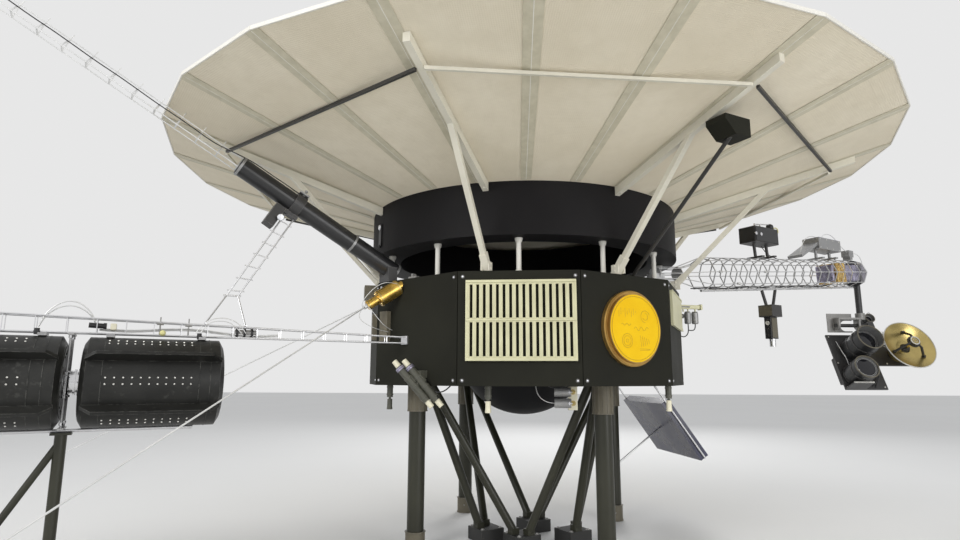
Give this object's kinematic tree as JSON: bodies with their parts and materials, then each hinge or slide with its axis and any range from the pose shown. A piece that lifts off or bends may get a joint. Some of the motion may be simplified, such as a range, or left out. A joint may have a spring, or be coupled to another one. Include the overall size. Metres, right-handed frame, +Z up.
{
  "type": "space probe",
  "caption": "Full-size display replica of a deep-space probe: wide dish on a polygonal body, with booms, generators, mast and a pointing platform, standing on pipe legs.",
  "frame": {"origin": "on the floor, at the centre of the circle of legs, under the body's upright axis", "axes": "+Z up through the dish; -Y out of the louvred side of the body; +X to the right of it"},
  "size_m": [6.3893, 4.6851, 3.3868],
  "materials": {
    "ivory_shell": "satin",
    "ivory_paint": "satin",
    "white_paint": "satin",
    "black_paint": "satin",
    "black_blanket": "satin",
    "louvre_metal": "satin",
    "gold": "polished",
    "gold_foil": "crinkled",
    "silver": "satin",
    "grey_metal": "satin",
    "dark_metal": "satin",
    "leg_paint": "satin",
    "collar_paint": "matt",
    "blue_panel": "satin"
  },
  "bodies": {
    "probe": {"body_frame": "dark_metal", "body_side_panels": "black_paint", "louvre_panel": "louvre_metal", "golden_disc_base": "gold", "golden_disc": "gold", "tank_dome": "black_blanket", "drum_pillars": "white_paint", "equipment_drum": "black_paint", "dish_shell": "ivory_shell", "dish_ribs": "ivory_paint", "dish_cross_bars_pale": "ivory_paint", "dish_cross_bars_dark": "black_paint", "dish_struts": "silver", "feed_horn": "ivory_shell", "small_reflector": "ivory_shell", "small_reflector_tripod": "ivory_paint", "legs": "leg_paint", "leg_collars": "collar_paint", "floor_blocks": "dark_metal", "leg_struts": "leg_paint", "generator_boom": "silver", "generator_1": "dark_metal", "generator_2": "dark_metal", "generator_3": "dark_metal", "generator_couplings": "silver", "generator_hangers": "black_paint", "generator_rail": "silver", "generator_stand": "leg_paint", "mast_canister": "silver", "canister_clamps": "grey_metal", "mast_lattice": "white_paint", "mast_sensors": "ivory_paint", "ladder_boom": "silver", "ladder_sensor": "black_paint", "whip_cans": "gold", "whip_antennas": "grey_metal", "science_boom": "silver", "foil_box": "gold_foil", "upper_detector": "black_paint", "upper_telescope": "ivory_paint", "upper_small_box": "white_paint", "hanging_detector": "grey_metal", "hanging_panel": "blue_panel", "hanging_panel_rods": "silver", "wedge_sensor": "dark_metal", "wedge_sensor_pole": "black_paint", "down_thrusters": "ivory_paint", "under_body_pair": "black_paint", "twin_thrusters": "grey_metal", "side_plate": "ivory_paint", "corner_thrusters": "grey_metal", "left_side_fittings": "grey_metal"},
    "yoke": {"platform_yoke": "grey_metal"},
    "platform": {"platform_frame": "black_paint", "narrow_camera": "black_paint", "wide_camera": "black_paint", "spectrometer": "black_paint", "platform_electronics": "black_blanket", "platform_gold_dish": "gold"}
  },
  "joints": [
    {"name": "platform_azimuth", "type": "hinge", "parent": "probe", "child": "yoke", "pos_m": [2.28982, 1.06239, 1.235], "axis": [0, 0, 1], "range_deg": [-170, 170]},
    {"name": "platform_elevation", "type": "hinge", "parent": "yoke", "child": "platform", "pos_m": [2.28982, 1.06239, 1.15], "axis": [-0.9903, -0.1392, 0], "range_deg": [-45, 55]}
  ]
}
